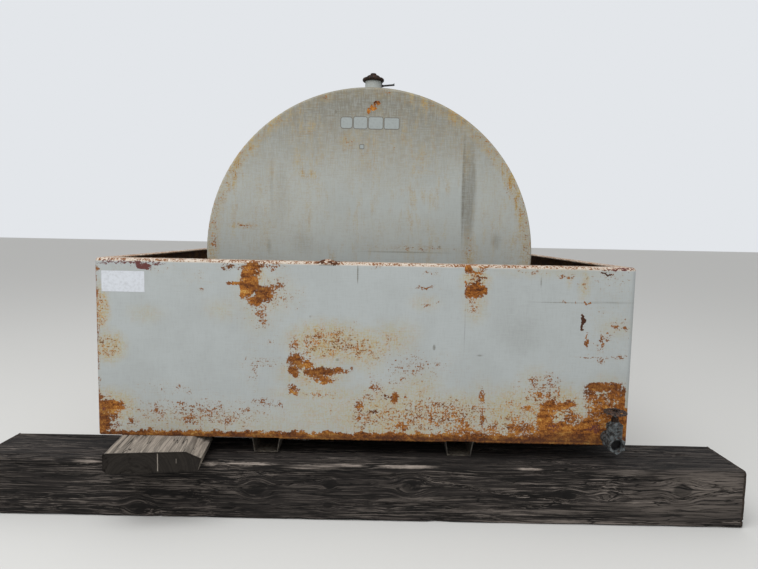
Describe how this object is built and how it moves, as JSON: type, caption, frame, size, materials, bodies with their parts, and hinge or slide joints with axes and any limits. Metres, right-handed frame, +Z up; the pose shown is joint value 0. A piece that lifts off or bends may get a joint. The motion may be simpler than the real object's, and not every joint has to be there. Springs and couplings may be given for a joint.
{
  "type": "horizontal storage tank in containment basin",
  "caption": "Horizontal cylindrical steel storage tank with flat flanged heads in an open steel containment basin with drain valve, skids and timber bearers.",
  "frame": {"origin": "middle of the part's footprint on the ground, under the two bearers", "axes": "+X across the basin to the right seen from the drain end, +Y along the tank from the drain end to the far end, +Z up"},
  "size_m": [3.454, 4.5742, 2.1931],
  "materials": {
    "basin_paint": "chalky pale blue-grey paint, rusted through in patches",
    "tank_paint": "chalky grey-white paint with yellow-brown streaks",
    "rusty_steel": "rusted plate with paint remains",
    "creosoted_timber": "rough-sawn, creosoted and weathered",
    "weathered_plank": "sawn softwood, weathered grey",
    "galvanised": "dull zinc",
    "dark_iron": "dark rusty cast iron",
    "rusty_iron": "rusty cast iron",
    "black_paint": "worn black paint"
  },
  "bodies": {
    "tank_and_basin": {"bearer_front": "creosoted_timber", "bearer_rear": "creosoted_timber", "packing_plank": "weathered_plank", "skid_left": "rusty_steel", "skid_right": "rusty_steel", "basin_floor": "rusty_steel", "basin_front_wall": "basin_paint", "basin_rear_wall": "basin_paint", "basin_left_wall": "basin_paint", "basin_right_wall": "basin_paint", "saddle_front": "rusty_steel", "saddle_rear": "rusty_steel", "shell_front": "tank_paint", "shell_middle": "tank_paint", "shell_rear": "tank_paint", "head_front": "tank_paint", "head_rear": "tank_paint", "lifting_lug_front": "tank_paint", "lifting_lug_rear": "tank_paint", "fill_neck": "tank_paint", "fill_cap": "dark_iron", "cap_lever": "black_paint", "gauge_coupling": "tank_paint", "gauge_plug": "dark_iron", "pump_coupling": "tank_paint", "pump_plug": "dark_iron", "vent_pipe": "galvanised", "vent_cap": "galvanised", "emergency_vent_neck": "tank_paint", "emergency_vent_cover": "black_paint", "drain_nipple": "galvanised", "valve_body": "galvanised", "valve_bonnet": "galvanised", "gland_nut": "dark_iron"},
    "handwheel": {"valve_stem": "galvanised", "valve_handwheel": "rusty_iron", "wheel_nut": "dark_iron"}
  },
  "joints": [
    {"name": "handwheel_turn", "type": "hinge", "parent": "tank_and_basin", "child": "handwheel", "pos_m": [1.12, -2.1351, 0.529], "axis": [0, 0, 1], "range_deg": [0, 1980]}
  ]
}
